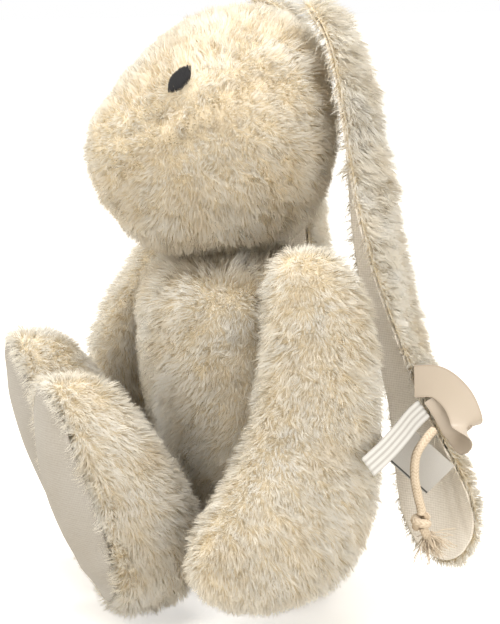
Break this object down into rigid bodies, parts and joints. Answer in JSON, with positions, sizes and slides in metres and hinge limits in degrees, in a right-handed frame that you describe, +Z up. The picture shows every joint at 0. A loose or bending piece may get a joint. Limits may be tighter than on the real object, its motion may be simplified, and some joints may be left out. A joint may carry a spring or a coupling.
{
  "type": "stuffed bunny rabbit",
  "caption": "Sitting lop-eared plush bunny with long hanging ears, cloth soles and sewn-in tags; head, arms, legs, ears and tags move at their seams.",
  "frame": {"origin": "centre of the flat base under the seat, on the floor", "axes": "+Z up, the bunny faces -Y, its left side is +X"},
  "size_m": [0.2529, 0.2226, 0.3118],
  "materials": {
    "plush_fabric": "long cream pile",
    "linen": "plain woven cloth",
    "fibrefill": "loose fibre",
    "embroidery_thread": "satin stitch",
    "elastic_tape": "ribbed",
    "satin_ribbon": "soft sheen",
    "woven_label": "smooth weave",
    "cotton_cord": "braided"
  },
  "bodies": {
    "torso": {"torso_front_panel": "plush_fabric", "torso_back_left_panel": "plush_fabric", "torso_back_right_panel": "plush_fabric", "torso_base_panel": "plush_fabric", "torso_stuffing": "fibrefill"},
    "head": {"head_gusset_panel": "plush_fabric", "head_left_panel": "plush_fabric", "head_right_panel": "plush_fabric", "head_stuffing": "fibrefill", "eye_left": "embroidery_thread", "eye_right": "embroidery_thread"},
    "arm_left": {"arm_left_outer_panel": "plush_fabric", "arm_left_inner_panel": "plush_fabric", "arm_left_stuffing": "fibrefill"},
    "arm_right": {"arm_right_outer_panel": "plush_fabric", "arm_right_inner_panel": "plush_fabric", "arm_right_stuffing": "fibrefill"},
    "leg_left": {"leg_left_outer_panel": "plush_fabric", "leg_left_inner_panel": "plush_fabric", "foot_left_sole": "linen", "leg_left_stuffing": "fibrefill"},
    "leg_right": {"leg_right_outer_panel": "plush_fabric", "leg_right_inner_panel": "plush_fabric", "foot_right_sole": "linen", "leg_right_stuffing": "fibrefill"},
    "ear_left": {"ear_left_fur_panel": "plush_fabric", "ear_left_lining": "linen"},
    "ear_right": {"ear_right_fur_panel": "plush_fabric", "ear_right_lining": "linen"},
    "tag_tape": {"tag_tape": "elastic_tape"},
    "tag_ribbon": {"tag_ribbon": "satin_ribbon"},
    "tag_label": {"tag_label": "woven_label"},
    "tag_cord": {"tag_cord": "cotton_cord"}
  },
  "joints": [
    {"name": "head_nod", "type": "hinge", "parent": "torso", "child": "head", "pos_m": [0, 0, 0.182], "axis": [1, 0, 0], "range_deg": [-5, 12]},
    {"name": "left_shoulder_swing", "type": "hinge", "parent": "torso", "child": "arm_left", "pos_m": [0.08, 0.007, 0.178], "axis": [1, 0, 0], "range_deg": [-100, 0]},
    {"name": "right_shoulder_swing", "type": "hinge", "parent": "torso", "child": "arm_right", "pos_m": [-0.08, 0.007, 0.178], "axis": [1, 0, 0], "range_deg": [-100, 0]},
    {"name": "left_hip_swing", "type": "hinge", "parent": "torso", "child": "leg_left", "pos_m": [0.034, -0.048, 0.046], "axis": [1, 0, 0], "range_deg": [-10, 30]},
    {"name": "right_hip_swing", "type": "hinge", "parent": "torso", "child": "leg_right", "pos_m": [-0.034, -0.048, 0.046], "axis": [1, 0, 0], "range_deg": [-5, 35]},
    {"name": "left_ear_lift", "type": "hinge", "parent": "head", "child": "ear_left", "pos_m": [0.03, 0.023, 0.305], "axis": [1, 0, 0], "range_deg": [0, 75]},
    {"name": "right_ear_lift", "type": "hinge", "parent": "head", "child": "ear_right", "pos_m": [-0.03, 0.023, 0.305], "axis": [1, 0, 0], "range_deg": [0, 75]},
    {"name": "tape_swing", "type": "hinge", "parent": "ear_left", "child": "tag_tape", "pos_m": [0.089, 0.0645, 0.111], "axis": [0, 0, 1], "range_deg": [0, 20]},
    {"name": "ribbon_swing", "type": "hinge", "parent": "ear_left", "child": "tag_ribbon", "pos_m": [0.088, 0.06, 0.125], "axis": [0, 0, 1], "range_deg": [-15, 0]},
    {"name": "label_swing", "type": "hinge", "parent": "ear_left", "child": "tag_label", "pos_m": [0.0885, 0.071, 0.0905], "axis": [0.1979, 0.673, -0.7126], "range_deg": [-10, 5]},
    {"name": "cord_swing", "type": "hinge", "parent": "ear_left", "child": "tag_cord", "pos_m": [0.094, 0.068, 0.101], "axis": [0, 1, 0], "range_deg": [-35, 0]}
  ]
}
